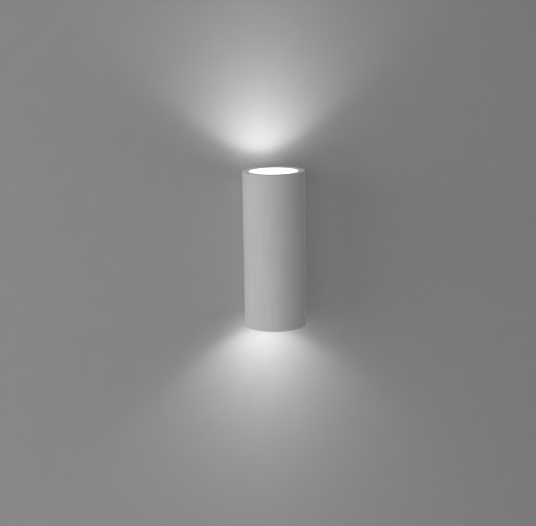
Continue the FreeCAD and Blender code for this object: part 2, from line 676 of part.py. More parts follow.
# ---------------------------------------------------------------- lamps
def make_lamp(end):
    """Reflector lamp: flared body, base block, two headed pins, and a lens in the face."""
    neck = "lamp_neck/2"
    face = "lamp_d/2"
    shoulder = "base_tall"
    flare = "lamp_len - lamp_rim"
    deep = "(lens_sink + lens_thick)"
    wall = "lamp_wall"
    seat = "(lamp_len - %s)" % deep
    shell = turned("lamp_body_" + end, (
        ("0", shoulder), (neck, shoulder), (neck, shoulder + " + 3"), (face, flare),
        (face, "lamp_len"), (face + " - " + wall, "lamp_len"), (face + " - " + wall, seat),
        (face + " - 2*" + wall, seat), (neck + " - " + wall, shoulder + " + 5"),
        ("0", shoulder + " + 5")), {2: ("lamp_d*0.9", 1)})
    lens = turned("lamp_lens_" + end, (
        ("0", seat), (face + " - " + wall, seat), (face + " - " + wall, "lamp_len - lens_sink"),
        ("lamp_d/4", "lamp_len - lens_sink"), ("lamp_d/5", "lamp_len - lens_sink/2"),
        ("0", "lamp_len - lens_sink/2")))
    foot = block(end + "_lamp_foot", "-base_long/2", "-base_wide/2", "0",
                 "base_long", "base_wide", "base_tall")
    base = doc.addObject("Part::Fillet", "lamp_base_" + end)
    base.Base = foot
    doc.recompute()
    upright = [n + 1 for n, edge in enumerate(foot.Shape.Edges)
               if edge.BoundBox.ZLength > value("base_tall") - 0.01]
    corner = value("base_wide*0.3")
    base.Edges = [(n, corner, corner) for n in upright]
    pins = []
    for n, x in enumerate(("pin_pitch/2", "-pin_pitch/2")):
        neck_rod = rod(end + "_pin_neck_%d" % n, x, "", "-pin_reach", "pin_neck/2", "pin_reach")
        head = rod(end + "_pin_head_%d" % n, x, "", "-pin_reach", "pin_head/2", "pin_head_tall")
        pins.append(fuse(end + "_pin_%d" % n, [neck_rod, head]))
    pins = group("lamp_pins_" + end, pins)
    for thing in (shell, lens, base, pins):
        if end == "top":
            place(thing, y=AXIS, z=LAMP_BASE)
        else:
            place(thing, y=AXIS, z="-" + LAMP_BASE, turn=((0, 1, 0), 180))
    return [shell, lens, base, pins]


# ---------------------------------------------------------------- wiring on the lower shelf
def make_terminal_block():
    """Three-pole block on the lower shelf: wire holes through it, screw holes from above."""
    width = "(3*pole_gap)"
    case = block("block_case", "-%s/2" % width, BLOCK_FRONT, FLOOR,
                 width, "block_deep", "block_tall")
    cutters = []
    screws = []
    for n, x in enumerate(("-pole_gap", "0", "pole_gap")):
        cutters.append(rod("pole_hole_%d" % n, x, BLOCK_BACK, POLE_Z, "pole_hole/2",
                           "block_deep", "-y"))
        top = "(%s + block_tall)" % FLOOR
        middle = BLOCK_BACK + " - block_deep/2"
        depth = "(block_tall/2 - lead_d/2 - small_play)"
        cutters.append(rod("pole_well_%d" % n, x, middle, top, "pole_screw/2 + small_play",
                           "block_tall/2", "-z"))
        pin = rod("pole_screw_%d" % n, x, middle, "%s - sheet" % top, "pole_screw/2",
                  depth + " - sheet", "-z")
        slot = block("pole_slot_%d" % n, x + " - pole_screw/2", middle + " - pole_screw/10",
                     "%s - sheet - pole_screw/4" % top, "pole_screw", "pole_screw/5",
                     "pole_screw/4")
        screws.append(cut("terminal_screw_%d" % n, pin, [slot]))
    return [cut("terminal_block", case, cutters), group("terminal_screws", screws)]


def make_cord_grip():
    """Saddle that presses the supply cable on the lower shelf, with its two screws."""
    saddle = block("saddle", "-clamp_wide/2", "-clamp_back - clamp_deep", FLOOR,
                   "clamp_wide", "clamp_deep", "clamp_tall")
    cable = "clamp_cable"
    arch = rod("saddle_arch", "0", "-clamp_back", FLOOR, cable + "/2", "clamp_deep", "-y")
    middle = "-clamp_back - clamp_deep/2"
    cutters = [arch]
    screws = []
    for n, x in enumerate(("clamp_bolt_gap/2", "-clamp_bolt_gap/2")):
        cutters.append(rod("saddle_hole_%d" % n, x, middle, FLOOR, "holder_bolt/2 + small_play",
                           "clamp_tall", "+z"))
        screws.append(screw("clamp_screw_%d" % n, x, middle, FLOOR + " + clamp_tall", "-z",
                            "holder_bolt/2", "clamp_tall + sheet", "holder_bolt*0.9",
                            "holder_bolt*0.7"))
    return [cut("cable_clamp", saddle, cutters), group("clamp_screws", screws)]


def make_leads():
    """Sleeved leads from the lampholders to the block, and the earth lead to its screw."""
    radius = "lead_d/2"
    bend = "lead_d*2.2"
    half = "lead_gap/2"
    front = BLOCK_FRONT + " - lead_d*3"
    leads = []
    for name, sign in (("live_lead", "-"), ("neutral_lead", "")):
        x = sign + half
        pole = sign + "pole_gap"
        leads.append(lead(name + "_top", (
            (x, AXIS, SHELF_TOP), (x, AXIS, SHELF_TOP + "*0.45"),
            (pole, front, SHELF_TOP + "*0.1"), (pole, front, POLE_Z),
            (pole, BLOCK_BACK + " - block_deep*0.75", POLE_Z)), radius, bend))
        leads.append(lead(name + "_bottom", (
            (x, AXIS, "-" + SHELF_TOP), (x, AXIS, "%s + block_tall*1.1" % FLOOR),
            (pole, AXIS + " + lead_d*4.6", "%s + block_tall*1.3" % FLOOR),
            (pole, AXIS + " + lead_d*4.6", POLE_Z),
            (pole, BLOCK_BACK + " - block_deep*0.25", POLE_Z)), radius, bend))
    return leads


def make_earth():
    """Earth screw in the upper shelf, and its lead, which ends in a ring tag."""
    top = SHELF_LOW
    tag_low = "(%s - tag_thick)" % top
    bolt = screw("earth_screw", "0", EARTH_Y, tag_low, "+z", "holder_bolt/2",
                 "tag_thick + sheet + holder_bolt*0.5", "holder_bolt", "holder_bolt*0.7")
    front = BLOCK_FRONT + " - lead_d*4"
    wire = lead("earth_wire", (
        ("0", BLOCK_BACK + " - block_deep*0.75", POLE_Z), ("0", front, POLE_Z),
        ("0", front, "%s - lead_d/2" % tag_low),
        ("0", EARTH_Y + " - holder_bolt*1.4", "%s - lead_d/2" % tag_low)), "lead_d/2",
        "lead_d*2.2")
    disc = rod("tag_disc", "0", EARTH_Y, tag_low, "holder_bolt*1.3", "tag_thick")
    hole = rod("tag_hole", "0", EARTH_Y, tag_low, "holder_bolt/2 + small_play",
               "tag_thick")
    barrel = rod("tag_barrel", "0", EARTH_Y + " - holder_bolt*1.15",
                 "%s - lead_d/2" % tag_low, "lead_d/2 + tag_thick*0.8", "lead_d*1.6", "-y")
    strap = cut("tag", disc, [hole])
    return [bolt, fuse("earth_lead", [wire, strap, barrel])]


# ---------------------------------------------------------------- all pieces
def make_all():
    made = [make_tube(), make_wall_plate(), make_grommet(), make_carrier()]
    made += make_glass() + make_carrier_fixings()
    for end in ("top", "bottom"):
        made += [make_bracket(end), make_lampholder(end)] + make_lamp(end)
    made += [make_rivets(), make_contacts(), make_lampholder_screws()]
    made += make_terminal_block() + make_cord_grip() + make_leads() + make_earth()
    return made


def write_all(made):
    doc.recompute()
    for thing in doc.Objects:
        if "Invalid" in thing.State or "Error" in thing.State:
            raise ValueError("%s is %s" % (thing.Label, thing.State))
    for piece in made:
        if piece.Shape.isNull() or not piece.Shape.isValid() or not piece.Shape.Solids:
            raise ValueError("%s has no valid solid" % piece.Label)
    os.makedirs("parts", exist_ok=True)
    for piece in made:
        piece.Shape.exportStep("parts/%s.step" % piece.Label)
    print("%d pieces, %d solids" % (len(made), sum(len(p.Shape.Solids) for p in made)))


write_all(make_all())
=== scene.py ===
# %% [markdown]
# # Tube wall light: finishes, small parts and light
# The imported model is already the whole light: a cast tube with a flat back, two satin discs,
# two reflector lamps and the steel, ceramic and wiring inside. This lesson gives every piece
# its finish, adds the small forms that are quicker to make as meshes, and lights it on a wall.
#
# The model could be rebuilt here from nothing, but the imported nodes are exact, so they stay
# where they are and only their materials change.

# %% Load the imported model
import json
import math

import bmesh
import bpy
from mathutils import Matrix, Vector


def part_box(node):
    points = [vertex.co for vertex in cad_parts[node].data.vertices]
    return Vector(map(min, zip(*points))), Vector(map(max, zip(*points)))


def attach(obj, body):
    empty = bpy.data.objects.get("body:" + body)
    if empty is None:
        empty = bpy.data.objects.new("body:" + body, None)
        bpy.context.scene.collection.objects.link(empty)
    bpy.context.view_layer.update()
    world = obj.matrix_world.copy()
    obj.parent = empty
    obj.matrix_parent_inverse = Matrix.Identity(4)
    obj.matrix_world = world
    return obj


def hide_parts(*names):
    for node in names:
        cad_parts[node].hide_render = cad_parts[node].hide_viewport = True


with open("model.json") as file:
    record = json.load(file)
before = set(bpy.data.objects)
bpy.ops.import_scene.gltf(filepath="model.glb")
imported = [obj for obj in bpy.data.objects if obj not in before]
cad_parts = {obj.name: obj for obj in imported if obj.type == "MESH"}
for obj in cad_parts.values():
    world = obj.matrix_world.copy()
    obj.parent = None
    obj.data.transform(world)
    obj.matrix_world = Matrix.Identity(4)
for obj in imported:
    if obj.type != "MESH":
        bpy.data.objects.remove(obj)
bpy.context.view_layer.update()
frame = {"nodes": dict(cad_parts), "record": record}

nodes_of = frame["nodes"]
record = frame["record"]
print("pieces in the packed model:", len(nodes_of))

# %% [markdown]
# ## Driving dimensions
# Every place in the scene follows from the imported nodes. The tube's box gives its height and
# its axis, because the back of the tube is flat and only the front is round.

# %% Read the tube's own sizes
MM = 0.001
tube_low, tube_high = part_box("tube_body")
TUBE_R = (tube_high.x - tube_low.x) / 2
RIM = tube_high.z
AXIS_Y = tube_low.y + TUBE_R
glass_low, glass_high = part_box("glass_top")
GLASS_R = (glass_high.x - glass_low.x) / 2
print("tube radius %.1f mm, rim %.1f mm, axis %.1f mm" % (TUBE_R / MM, RIM / MM, AXIS_Y / MM))

# %% [markdown]
# ## A finish
# A finish is one Principled shader, whose sockets take a colour, a roughness and a share of
# metal. A few helpers shorten the calls that make a node and join it. They work on the node
# tree of anything that has one, so the lamps and the sky use them later too.


# %% Shader, nodes and links
def add_node(made, kind, **settings):
    """New node in the tree of a material, lamp or world."""
    node = made.node_tree.nodes.new(kind)
    for key, setting in settings.items():
        setattr(node, key, setting)
    return node


def join(made, output, target):
    made.node_tree.links.new(output, target)


def principled(made):
    return made.node_tree.nodes["Principled BSDF"]


def new_finish(name, colour, roughness, metallic=0.0):
    """Material with one Principled shader; returns the material."""
    made = bpy.data.materials.new(name)
    made.use_nodes = True
    shader = principled(made)
    shader.inputs["Base Color"].default_value = (*colour, 1)
    shader.inputs["Roughness"].default_value = roughness
    shader.inputs["Metallic"].default_value = metallic
    return made


def tell(made):
    print("%s: %d nodes" % (made.name, len(made.node_tree.nodes)))


# %% [markdown]
# ## Textures in space
# No real surface is even, so a finish gets a slow mottle and a fine grain. A painted image
# could give both, but it would need the surface laid out flat. Noise and cells fill space and
# need no layout. They read Object coordinates, which are real metres here, so a scale of 1000
# is a grain of one millimetre.


# %% Noise and cells
def object_place(made, scale=(1, 1, 1)):
    """Object coordinates in metres, stretched by a Mapping node."""
    where = add_node(made, "ShaderNodeTexCoord")
    mapping = add_node(made, "ShaderNodeMapping")
    mapping.inputs["Scale"].default_value = scale
    join(made, where.outputs["Object"], mapping.inputs["Vector"])
    return mapping.outputs["Vector"]


def noise(made, place, scale, detail):
    """Cloudy values from 0 to 1."""
    cloud = add_node(made, "ShaderNodeTexNoise")
    cloud.inputs["Scale"].default_value = scale
    cloud.inputs["Detail"].default_value = detail
    join(made, place, cloud.inputs["Vector"])
    return cloud.outputs["Fac"]


def cells(made, place, scale):
    """Cells with a centre each; returns the node, for its distance and colour."""
    grid = add_node(made, "ShaderNodeTexVoronoi")
    grid.inputs["Scale"].default_value = scale
    join(made, place, grid.inputs["Vector"])
    return grid


# %% [markdown]
# ## Reckoning with values
# The textures give plain numbers. A Map Range node spreads them over the range that a socket
# wants, a Mix node blends two of them, and a Math node does the rest.


# %% Range, blend and math
def mapped(made, value, low, high, from_low=0.0, from_high=1.0):
    """Value spread over a new range."""
    node = add_node(made, "ShaderNodeMapRange")
    for name, number in (("From Min", from_low), ("From Max", from_high),
                         ("To Min", low), ("To Max", high)):
        node.inputs[name].default_value = number
    join(made, value, node.inputs["Value"])
    return node.outputs["Result"]


def blended(made, first, second, share):
    """Mean of two values, with that share of the second."""
    node = add_node(made, "ShaderNodeMix")
    node.inputs["Factor"].default_value = share
    join(made, first, node.inputs["A"])
    join(made, second, node.inputs["B"])
    return node.outputs["Result"]


def maths(made, operation, *values):
    """Math node on outputs of other nodes or plain numbers; returns its output."""
    node = add_node(made, "ShaderNodeMath", operation=operation)
    for socket, value in zip(node.inputs, values):
        if isinstance(value, (int, float)):
            socket.default_value = value
        else:
            join(made, value, socket)
    return node.outputs["Value"]


# %% [markdown]
# ## Colour and relief
# A ramp turns a value into a colour: two tones a few percent apart make a mottle. A bump tilts
# the light on a surface that stays flat, which is enough for a grain too fine to model.


# %% Ramp, mottle and bump
def ramp(made, value, stops):
    """Colour ramp through two (position, colour) stops."""
    node = add_node(made, "ShaderNodeValToRGB")
    for element, (position, colour) in zip(node.color_ramp.elements, stops):
        element.position = position
        element.color = (*colour, 1)
    join(made, value, node.inputs["Fac"])
    return node.outputs["Color"]


def mottle(made, value, colour, spread):
    """Base colour that wanders round one colour by that spread; noise is mostly 0.3 to 0.7."""
    dark = [part * (1 - spread) for part in colour]
    pale = [min(1, part * (1 + spread)) for part in colour]
    tint = ramp(made, value, ((0.3, dark), (0.7, pale)))
    join(made, tint, principled(made).inputs["Base Color"])


def bump(made, height, strength, depth):
    """Tilt the shader's normal by a height; depth is in metres."""
    node = add_node(made, "ShaderNodeBump")
    node.inputs["Strength"].default_value = strength
    node.inputs["Distance"].default_value = depth
    join(made, height, node.inputs["Height"])
    join(made, node.outputs["Normal"], principled(made).inputs["Normal"])


# %% [markdown]
# ## Cast plaster
# The tube is plaster cast in a mould and painted with a dead matt white. Close to, such a skin
# has a slow unevenness from the casting, faint upright streaks from the brush, the fine tooth
# of matt paint, and here and there a pinhole where a bubble sat. The shape could carry the
# pinholes, but they are only half a millimetre wide, so a bump is the right size of tool.

# %% Plaster
PLASTER = (0.72, 0.72, 0.72)
SWELLS, STREAKS, TOOTH, BUBBLES = 28, 170, 1500, 210
plaster = new_finish("cast_plaster", PLASTER, 0.88)
principled(plaster).inputs["Specular IOR Level"].default_value = 0.3
place = object_place(plaster)
slow = noise(plaster, place, SWELLS, 3)
streaks = noise(plaster, object_place(plaster, (1, 1, 0.12)), STREAKS, 3)
mottle(plaster, blended(plaster, slow, streaks, 0.5), PLASTER, 0.04)
tooth = noise(plaster, place, TOOTH, 2)
pits = cells(plaster, place, BUBBLES).outputs["Distance"]
pinholes = mapped(plaster, pits, 0, 1, 0.03, 0.09)
skin = blended(plaster, blended(plaster, tooth, pinholes, 0.5), streaks, 0.4)
bump(plaster, skin, 0.6, 0.22 * MM)
join(plaster, mapped(plaster, slow, 0.82, 0.94), principled(plaster).inputs["Roughness"])
tell(plaster)

# %% [markdown]
# ## Lit satin glass
# The discs are acid-etched glass, which spreads the lamp's light over its whole face. It could
# be a real transmitting glass with the lamp behind it, but that needs thousands of samples.
# Its own soft glow, strongest in the middle where the lamp shines, looks the same at once. The
# disc's narrow side glows half as much, because the light leaves through the flat faces.

# %% Satin glass
GLOW_MIDDLE, GLOW_EDGE, SIDE_SHARE = 1.25, 0.66, 0.45
satin_glass = new_finish("satin_glass", (0.9, 0.9, 0.89), 0.38)
from_axis = add_node(satin_glass, "ShaderNodeVectorMath", operation="DISTANCE")
from_axis.inputs[1].default_value = (0, AXIS_Y, 0)
join(satin_glass, object_place(satin_glass, (1, 1, 0)), from_axis.inputs[0])
glow = mapped(satin_glass, from_axis.outputs["Value"], GLOW_MIDDLE, GLOW_EDGE, 0.0, GLASS_R)
facing = add_node(satin_glass, "ShaderNodeNewGeometry")
upward = add_node(satin_glass, "ShaderNodeSeparateXYZ")
join(satin_glass, facing.outputs["Normal"], upward.inputs["Vector"])
flatness = maths(satin_glass, "ABSOLUTE", upward.outputs["Z"])
kept = maths(satin_glass, "MULTIPLY", glow, mapped(satin_glass, flatness, SIDE_SHARE, 1.0))
join(satin_glass, kept, principled(satin_glass).inputs["Emission Strength"])
principled(satin_glass).inputs["Emission Color"].default_value = (1, 1, 0.985, 1)
bump(satin_glass, noise(satin_glass, object_place(satin_glass), 2600, 1), 0.2, 0.04 * MM)
tell(satin_glass)

# %% [markdown]
# ## Zinc plated steel
# The plate, the spine, the shelves and most screws are zinc plated: a pale blue grey with
# faint crystals that catch the light differently. The crystals are cells about three
# millimetres wide. Each cell has a random colour, whose parts set its roughness and its tone.

# %% Zinc
ZINC = (0.58, 0.6, 0.63)
zinc_steel = new_finish("zinc_steel", ZINC, 0.36, 0.92)
spangle = cells(zinc_steel, object_place(zinc_steel), 330)
split = add_node(zinc_steel, "ShaderNodeSeparateColor")
join(zinc_steel, spangle.outputs["Color"], split.inputs["Color"])
join(zinc_steel, mapped(zinc_steel, split.outputs["Red"], 0.3, 0.46),
     principled(zinc_steel).inputs["Roughness"])
mottle(zinc_steel, split.outputs["Green"], ZINC, 0.05)
rolled = noise(zinc_steel, object_place(zinc_steel, (1, 1, 7)), 900, 2)
bump(zinc_steel, rolled, 0.12, 0.03 * MM)
tell(zinc_steel)

# %% [markdown]
# ## Spring steel and brass
# The spring ring is bright drawn wire with fine lines, which are noise squeezed along one
# axis. The terminal and earth screws, the contacts and the pins are brass, warmer and lightly
# tarnished: one noise darkens the tone and dulls the gloss.

# %% Spring wire and brass
SPRING = (0.5, 0.51, 0.53)
spring_steel = new_finish("spring_steel", SPRING, 0.24, 1.0)
drawn = noise(spring_steel, object_place(spring_steel, (1, 1, 40)), 300, 2)
mottle(spring_steel, drawn, SPRING, 0.08)
bump(spring_steel, drawn, 0.15, 0.03 * MM)
tell(spring_steel)

BRASS = (0.72, 0.52, 0.24)
brass = new_finish("brass", BRASS, 0.26, 1.0)
tarnish = noise(brass, object_place(brass), 420, 4)
mottle(brass, tarnish, BRASS, 0.12)
join(brass, mapped(brass, tarnish, 0.2, 0.42), principled(brass).inputs["Roughness"])
tell(brass)

# %% [markdown]
# ## Ceramic
# The lampholders are unglazed steatite, a warm off-white with sparse dark specks. A speck is
# the middle of a cell, picked out by a narrow ramp on the distance from it.

# %% Ceramic with specks
CERAMIC, SPECK = (0.79, 0.765, 0.7), (0.34, 0.3, 0.25)
ceramic = new_finish("ceramic", CERAMIC, 0.62)
place = object_place(ceramic)
specks = cells(ceramic, place, 420).outputs["Distance"]
join(ceramic, ramp(ceramic, specks, ((0.06, SPECK), (0.11, CERAMIC))),
     principled(ceramic).inputs["Base Color"])
bump(ceramic, noise(ceramic, place, 2200, 3), 0.3, 0.08 * MM)
tell(ceramic)

# %% [markdown]
# ## Plastics and rubber
# The lamps' bodies and bases are a smooth white plastic with a slight orange peel. The
# terminal block and the cord grip are a natural plastic that lets a little light in. The
# discs' seals are milky silicone and the grommet is black rubber. They differ in little but
# colour and grain, so one function makes them all.


# %% Moulded finishes
def moulded(name, colour, roughness, grain, depth, spread=0.02):
    """Moulded plastic or rubber: a faint mottle and an even fine grain."""
    made = new_finish(name, colour, roughness)
    place = object_place(made)
    mottle(made, noise(made, place, 120, 2), colour, spread)
    bump(made, noise(made, place, grain, 2), 0.2, depth)
    tell(made)
    return made


lamp_plastic = moulded("lamp_plastic", (0.8, 0.8, 0.79), 0.34, 700, 0.04 * MM)
block_plastic = moulded("block_plastic", (0.74, 0.735, 0.68), 0.42, 1100, 0.03 * MM)
principled(block_plastic).inputs["Subsurface Weight"].default_value = 0.15
principled(block_plastic).inputs["Subsurface Radius"].default_value = (2 * MM, 2 * MM, 1.5 * MM)
silicone = moulded("silicone", (0.74, 0.74, 0.72), 0.5, 1500, 0.03 * MM)
black_rubber = moulded("black_rubber", (0.035, 0.035, 0.036), 0.68, 1800, 0.06 * MM, 0.1)

# %% [markdown]
# ## Lamp lens
# The lamp's face is a clear moulding over the light source. It glows, because the lamp is on,
# and its fine grid of lenslets breaks the glow up. The lenslets are cells seen along the
# lamp's axis: with no height in their place, they run straight through the lens.

# %% Lens
lamp_glass = new_finish("lamp_glass", (0.9, 0.91, 0.92), 0.16)
lenslets = cells(lamp_glass, object_place(lamp_glass, (1, 1, 0)), 360).outputs["Distance"]
join(lamp_glass, mapped(lamp_glass, lenslets, 0.95, 0.45, 0, 0.6),
     principled(lamp_glass).inputs["Emission Strength"])
principled(lamp_glass).inputs["Emission Color"].default_value = (1, 1, 0.97, 1)
bump(lamp_glass, lenslets, 0.1, 0.2 * MM)
tell(lamp_glass)

# %% [markdown]
# ## Sleeved leads
# Leads inside a hot light wear a woven glass sleeve over their insulation. The weave could be
# modelled thread by thread, but two crossed sets of fine diagonal lines as a bump are enough
# at this size. The earth lead's sleeve is green with a yellow stripe.


# %% Woven sleeves
def diagonal_lines(made, scale, side=1):
    """Even waves across the diagonal; a side of -1 crosses them over."""
    waves = add_node(made, "ShaderNodeTexWave", bands_direction="DIAGONAL")
    waves.inputs["Scale"].default_value = scale
    join(made, object_place(made, (1, side, 1)), waves.inputs["Vector"])
    return waves.outputs["Fac"]


def sleeve(name, colour, stripe=None):
    """Woven sleeve; with a stripe colour it gets bands of it."""
    made = new_finish(name, colour, 0.66)
    weave = blended(made, diagonal_lines(made, 420), diagonal_lines(made, 420, -1), 0.5)
    bump(made, weave, 0.55, 0.12 * MM)
    if stripe is None:
        mottle(made, noise(made, object_place(made), 300, 2), colour, 0.12)
    else:
        bands = ramp(made, diagonal_lines(made, 55), ((0.45, colour), (0.55, stripe)))
        join(made, bands, principled(made).inputs["Base Color"])
    tell(made)
    return made


sleeve_brown = sleeve("sleeve_brown", (0.16, 0.065, 0.03))
sleeve_blue = sleeve("sleeve_blue", (0.03, 0.1, 0.32))
sleeve_earth = sleeve("sleeve_earth", (0.1, 0.3, 0.05), (0.75, 0.62, 0.06))

# %% [markdown]
# ## Put the finishes on
# The record already names a material slot for every node, so the scene asks it which node
# takes which finish. The dictionary joins the record's slot names to the finishes above.

# %% Finishes by slot
FINISHES = {
    "plaster": plaster, "satin_glass": satin_glass, "zinc_steel": zinc_steel,
    "spring_steel": spring_steel, "brass": brass, "ceramic": ceramic,
    "lamp_plastic": lamp_plastic, "lamp_glass": lamp_glass, "silicone": silicone,
    "black_rubber": black_rubber, "block_plastic": block_plastic,
    "sleeve_brown": sleeve_brown, "sleeve_blue": sleeve_blue, "sleeve_earth": sleeve_earth,
}
slot_of = {part["node"]: part["material_slot"] for part in record["subparts"]}


def dress(thing, finish):
    thing.data.materials.clear()
    thing.data.materials.append(finish)


for node, slot in slot_of.items():
    dress(nodes_of[node], FINISHES[slot])
print("finishes given to", len(slot_of), "nodes")

# %% [markdown]
# ## Find the separate screws of a node
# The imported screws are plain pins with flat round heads, which is all that a collision needs.
# They are made again with finer forms, in the same places. One node holds several screws, so
# its skin is first walked from corner to corner along the edges: what can be reached from
# one corner is one screw. Blender's separate operator could split the node into its loose
# parts too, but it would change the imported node, and this leaves it untouched.


# %% Walk over a node's solids
def solids_of(name):
    """Corner points of each separate solid in a node."""
    skin = bmesh.new()
    skin.from_mesh(nodes_of[name].data)
    skin.transform(nodes_of[name].matrix_world)
    bmesh.ops.remove_doubles(skin, verts=skin.verts, dist=1e-6)
    reached, solids = set(), []
    for start in skin.verts:
        if start in reached:
            continue
        reached.add(start)
        front, points = [start], []
        while front:
            here = front.pop()
            points.append(here.co.copy())
            for edge in here.link_edges:
                other = edge.other_vert(here)
                if other not in reached:
                    reached.add(other)
                    front.append(other)
        solids.append(points)
    skin.free()
    return solids


print("carrier screws found:", len(solids_of("carrier_screws")))

# %% [markdown]
# ## Measure a screw
# A screw lies along the axis across which its box is square. The points far from that axis
# belong to the head, which tells which way it faces and where it sits. The points at the other
# end give the shank. A screw that has no head is measured as all head.


# %% Seat, head and shank
def measure(points):
    """Place and sizes of a round pin: seat, outward direction, head and shank."""
    low = Vector([min(point[i] for point in points) for i in range(3)])
    high = Vector([max(point[i] for point in points) for i in range(3)])
    size, middle = high - low, (low + high) / 2
    along = min(range(3), key=lambda i: abs(size[(i + 1) % 3] - size[(i + 2) % 3]))
    head_r = size[(along + 1) % 3] / 2

    def off_axis(point):
        away = point - middle
        away[along] = 0
        return away.length

    wide = [point[along] for point in points if off_axis(point) > 0.9 * head_r]
    way = 1 if sum(wide) / len(wide) >= middle[along] - 1e-6 else -1
    seat = min(wide) if way > 0 else max(wide)
    foot = low[along] if way > 0 else high[along]
    thin = [off_axis(point) for point in points if abs(point[along] - foot) < 1e-5]
    spot, out = middle.copy(), Vector((0, 0, 0))
    spot[along], out[along] = seat, way
    return {"spot": spot, "out": out, "head_r": head_r, "head_tall": max(wide) - min(wide),
            "shank_r": max(thin), "length": abs(seat - foot)}


found = measure(solids_of("carrier_screws")[0])
print("carrier screw: head %.1f, shank %.1f, length %.1f mm" % (
    2 * found["head_r"] / MM, 2 * found["shank_r"] / MM, found["length"] / MM))

# %% [markdown]
# ## Turn a profile on the lathe
# A screw is round, so it is one outline that is spun about its axis. Two primitives, a
# cylinder and a dome, could be joined instead, but a spun outline has no seam between head
# and shank. Afterwards the faces are smooth, and edges that turn sharply stay sharp.


# %% Spin, sharpen and set down
def spun(skin, profile, steps):
    """Add the surface of a profile of (radius, height) points, turned round the Z axis."""
    line = [skin.verts.new((radius, 0, height)) for radius, height in profile]
    edges = [skin.edges.new(pair) for pair in zip(line, line[1:])]
    bmesh.ops.spin(skin, geom=line + edges, cent=(0, 0, 0), axis=(0, 0, 1), dvec=(0, 0, 0),
                   angle=2 * math.pi, steps=steps, use_merge=True)
    bmesh.ops.remove_doubles(skin, verts=skin.verts, dist=1e-7)


def crisp(skin, limit=math.radians(32)):
    """Normals out, smooth faces, and sharp edges where the skin turns by more than that."""
    bmesh.ops.recalc_face_normals(skin, faces=skin.faces)
    for face in skin.faces:
        face.smooth = True
    for edge in skin.edges:
        edge.smooth = len(edge.link_faces) == 2 and edge.calc_face_angle(0) < limit


def set_down(skin, spot, out):
    """Move a skin that was built on the Z axis to its place; returns a mesh."""
    turn = out.to_track_quat("Z", "Y").to_matrix().to_4x4()
    skin.transform(Matrix.Translation(spot) @ turn)
    mesh = bpy.data.meshes.new("part")
    skin.to_mesh(mesh)
    skin.free()
    return mesh


# %% [markdown]
# ## A recess for the driver
# The head ends in an open circle. A loop with the outline of the recess is laid into it and
# the band between the two is bridged. Then the loop is pushed down, narrowed and closed. A
# boolean cut would do it too, but it leaves long thin faces that shade badly.


# %% Cross and recess
def open_edges(skin):
    return [edge for edge in skin.edges if len(edge.link_faces) < 2]


def cross_corners(arm, half):
    """Corners of a plus with four arms, in order round it."""
    corners = []
    for quarter in range(4):
        angle = quarter * math.pi / 2
        for x, y in ((half, -half), (arm, -half), (arm, half)):
            corners.append((x * math.cos(angle) - y * math.sin(angle),
                            x * math.sin(angle) + y * math.cos(angle)))
    return corners


def recess(skin, corners, height, depth, narrow):
    """Close an open head with a sunk hole of that outline."""
    loop = [skin.verts.new((x, y, height)) for x, y in corners]
    rim = open_edges(skin)
    lip = [skin.edges.new(pair) for pair in zip(loop, loop[1:] + loop[:1])]
    bmesh.ops.bridge_loops(skin, edges=rim + lip)
    sunk = bmesh.ops.extrude_edge_only(skin, edges=lip)["geom"]
    for corner in [part for part in sunk if isinstance(part, bmesh.types.BMVert)]:
        corner.co = (corner.co.x * narrow, corner.co.y * narrow, height - depth)
    bmesh.ops.holes_fill(skin, edges=open_edges(skin), sides=len(corners))


# %% [markdown]
# ## A headed screw
# The outline climbs the thread and then the domed head, in shares of the measured sizes. The
# thread is a row of rings instead of one long spiral. A spiral could be built with the same
# spin and a lift, but at four millimetres across the eye can't tell, and rings close cleanly.

# %% Screw with a cross recess
LATHE_STEPS = 24
CREST, ROOT = 0.99, 0.8


def screw_profile(head, tall, shank, length):
    """Outline of a screw from its point to the edge of its recess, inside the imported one."""
    pitch = 0.35 * shank
    line = [(0, -length), (0.6 * shank, -length)]
    height = -length + pitch
    while height < -1.2 * pitch:
        line += [(ROOT * shank, height - pitch / 2), (CREST * shank, height)]
        height += pitch
    line += [(ROOT * shank, height - pitch / 2), (ROOT * shank, 0)]
    line += [(across * head, up * tall) for across, up in (
        (0.96, 0), (1, 0.04), (1, 0.4), (0.94, 0.66), (0.82, 0.86), (0.64, 0.97), (0.5, 1))]
    return line


def pan_screw(points):
    """Headed screw in the place of a packed one."""
    sizes = measure(points)
    head, tall = sizes["head_r"], sizes["head_tall"]
    skin = bmesh.new()
    spun(skin, screw_profile(head, tall, sizes["shank_r"], sizes["length"]), LATHE_STEPS)
    arm = 0.42 * head
    recess(skin, cross_corners(arm, 0.22 * arm), tall, 0.55 * tall, 0.7)
    crisp(skin)
    return set_down(skin, sizes["spot"], sizes["out"])


# %% [markdown]
# ## Put new pieces in the place of packed ones
# A new piece rides on the body of the node it stands for, so that it moves with it, and takes
# the same finish. Its corners are already in their places, so the object itself stays at the
# origin, unturned.


# %% Replace a node
def stand_in(name, node, meshes):
    """One object made of the meshes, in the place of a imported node."""
    skin = bmesh.new()
    for mesh in meshes:
        skin.from_mesh(mesh)
        bpy.data.meshes.remove(mesh)
    mesh = bpy.data.meshes.new(name)
    skin.to_mesh(mesh)
    skin.free()
    made = bpy.data.objects.new(name, mesh)
    bpy.context.scene.collection.objects.link(made)
    body = next(body for body, members in record["behaviour"]["bodies"].items()
                if node in members)
    finish = slot_of[node]
    dress(made, FINISHES[finish])
    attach(made, body)
    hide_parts(node)
    print("%s: %d faces for %s" % (name, len(mesh.polygons), node))


for node in ("carrier_screws", "lampholder_screws", "clamp_screws", "earth_screw"):
    stand_in("threaded_" + node, node, [pan_screw(points) for points in solids_of(node)])

